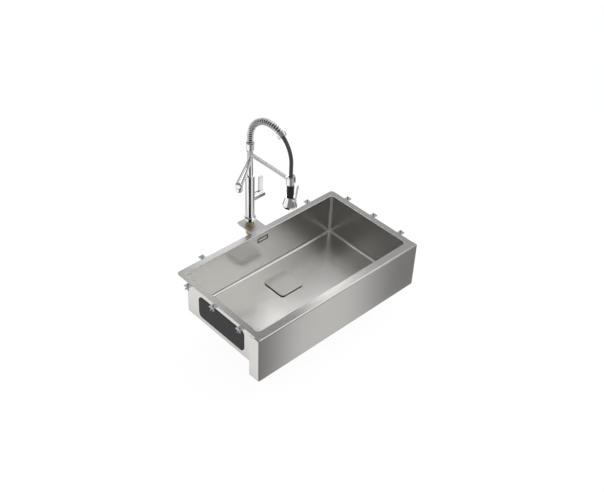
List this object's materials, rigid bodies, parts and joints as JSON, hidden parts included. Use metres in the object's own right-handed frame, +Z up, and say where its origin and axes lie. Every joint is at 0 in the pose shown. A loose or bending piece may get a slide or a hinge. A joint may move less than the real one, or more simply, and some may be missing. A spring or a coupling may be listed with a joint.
{
  "type": "kitchen sink with spring tap",
  "caption": "Apron-front stainless undermount sink with covered basket waste, overflow and a spring-arch mixer tap with pull-out spray and swivel spout.",
  "frame": {"origin": "middle of the bowl's opening, in the plane of the worktop's underside (top of the rim flange)", "axes": "+X to the right along the apron, +Y to the back towards the tap, +Z up out of the bowl"},
  "size_m": [0.834, 0.55, 0.8151],
  "materials": {
    "stainless": "satin brushed",
    "chrome": "polished",
    "zinc_steel": "zinc plated",
    "pin_steel": "ground",
    "brass": "machined",
    "damping_rubber": "matte",
    "seal_rubber": "matte",
    "black_rubber": "satin",
    "black_plastic": "fine grain",
    "waste_plastic": "moulded",
    "inner_plastic": "moulded"
  },
  "bodies": {
    "sink": {"bowl": "stainless", "apron_panel": "stainless", "apron_stiffeners": "stainless", "damping_pad_left": "damping_rubber", "damping_pad_right": "damping_rubber", "damping_pads_back": "damping_rubber", "damping_pads_floor": "damping_rubber", "mounting_clips": "zinc_steel", "clip_studs": "zinc_steel", "clip_wing_nuts": "zinc_steel", "drain_cup": "stainless", "drain_seal": "seal_rubber", "waste_seal": "seal_rubber", "waste_body": "waste_plastic", "clamp_screw": "stainless", "overflow_plate": "stainless", "overflow_seal": "seal_rubber", "overflow_housing": "black_plastic", "overflow_pipe": "waste_plastic", "overflow_union_nuts": "waste_plastic", "tap_bracket": "zinc_steel", "bracket_studs": "zinc_steel", "bracket_nuts": "zinc_steel", "tap_base_seal": "seal_rubber", "tap_base_ring": "chrome", "tap_shank": "brass", "tap_clamp_washer": "zinc_steel", "tap_clamp_nut": "brass", "tap_body": "chrome", "mixer_cartridge": "inner_plastic", "cartridge_nut": "brass", "riser_tube": "chrome", "slip_washers": "inner_plastic"},
    "basket": {"strainer_basket": "stainless", "stopper_seal": "seal_rubber", "basket_knob": "stainless"},
    "cover": {"cover_plate": "stainless", "cover_feet": "seal_rubber"},
    "lever_hub": {"lever_cap": "chrome", "lever_pin": "pin_steel"},
    "lever_blade": {"lever_paddle": "chrome"},
    "spout": {"swivel_spout": "chrome", "spout_aerator": "black_plastic"},
    "spray_arm": {"dock_arm": "chrome", "dock_fork": "chrome", "spring_socket": "chrome", "arch_hose": "black_rubber", "arch_spring": "chrome", "spring_end_ring": "chrome", "spray_hose": "black_rubber"},
    "spray_head": {"spray_neck": "chrome", "spray_grip": "black_rubber", "spray_bell": "chrome", "spray_face": "black_plastic", "trigger_pin": "pin_steel"},
    "trigger": {"spray_trigger": "chrome"}
  },
  "joints": [
    {"name": "basket_lift", "type": "slide", "parent": "sink", "child": "basket", "axis": [0, 0, 1], "range_m": [0, 0.2]},
    {"name": "cover_lift", "type": "slide", "parent": "basket", "child": "cover", "axis": [0, 0, 1], "range_m": [0, 0.15]},
    {"name": "lever_turn", "type": "hinge", "parent": "sink", "child": "lever_hub", "pos_m": [0.0416, 0.275, 0.118], "axis": [1, 0, 0], "range_deg": [-45, 45]},
    {"name": "lever_tilt", "type": "hinge", "parent": "lever_hub", "child": "lever_blade", "pos_m": [0.0516, 0.275, 0.128], "axis": [0, 1, 0], "range_deg": [0, 18]},
    {"name": "spout_swivel", "type": "hinge", "parent": "sink", "child": "spout", "pos_m": [0, 0.275, 0.2963], "axis": [0, 0, 1], "range_deg": [-60, 150]},
    {"name": "spray_swivel", "type": "hinge", "parent": "sink", "child": "spray_arm", "pos_m": [0, 0.275, 0.3214], "axis": [0, 0, 1], "range_deg": [-100, 100]},
    {"name": "head_pull", "type": "slide", "parent": "spray_arm", "child": "spray_head", "axis": [0, -1, 0], "range_m": [0, 0.06], "deforming": ["spray_hose"]},
    {"name": "trigger_squeeze", "type": "hinge", "parent": "spray_head", "child": "trigger", "pos_m": [0, 0.0305, 0.2472], "axis": [-1, 0, 0], "range_deg": [0, 12], "stiffness_Nm_per_rad": 0.12}
  ]
}
